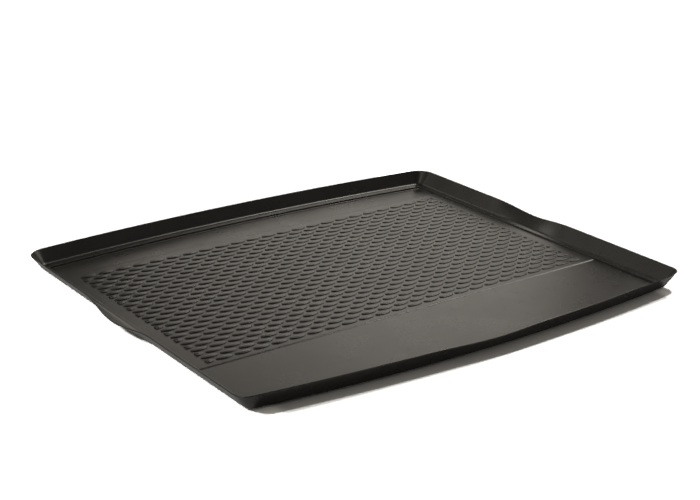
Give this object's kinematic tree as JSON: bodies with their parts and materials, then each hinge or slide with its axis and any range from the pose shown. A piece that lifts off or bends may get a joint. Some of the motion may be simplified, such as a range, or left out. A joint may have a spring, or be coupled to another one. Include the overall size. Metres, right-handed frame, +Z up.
{
  "type": "car boot liner",
  "caption": "Moulded plastic car boot liner with a flared rim and an anti-slip field of raised oval pads on its floor.",
  "frame": {"origin": "centre of the liner's footprint, on the ground it lies on", "axes": "+X along the loading edge to the right, +Y from the loading edge into the boot, +Z up"},
  "size_m": [1.0758, 0.899, 0.0373],
  "materials": {
    "moulded_plastic": "satin black thermoplastic sheet with a very fine grain"
  },
  "bodies": {
    "root": {"boot_liner": "moulded_plastic"}
  },
  "joints": []
}
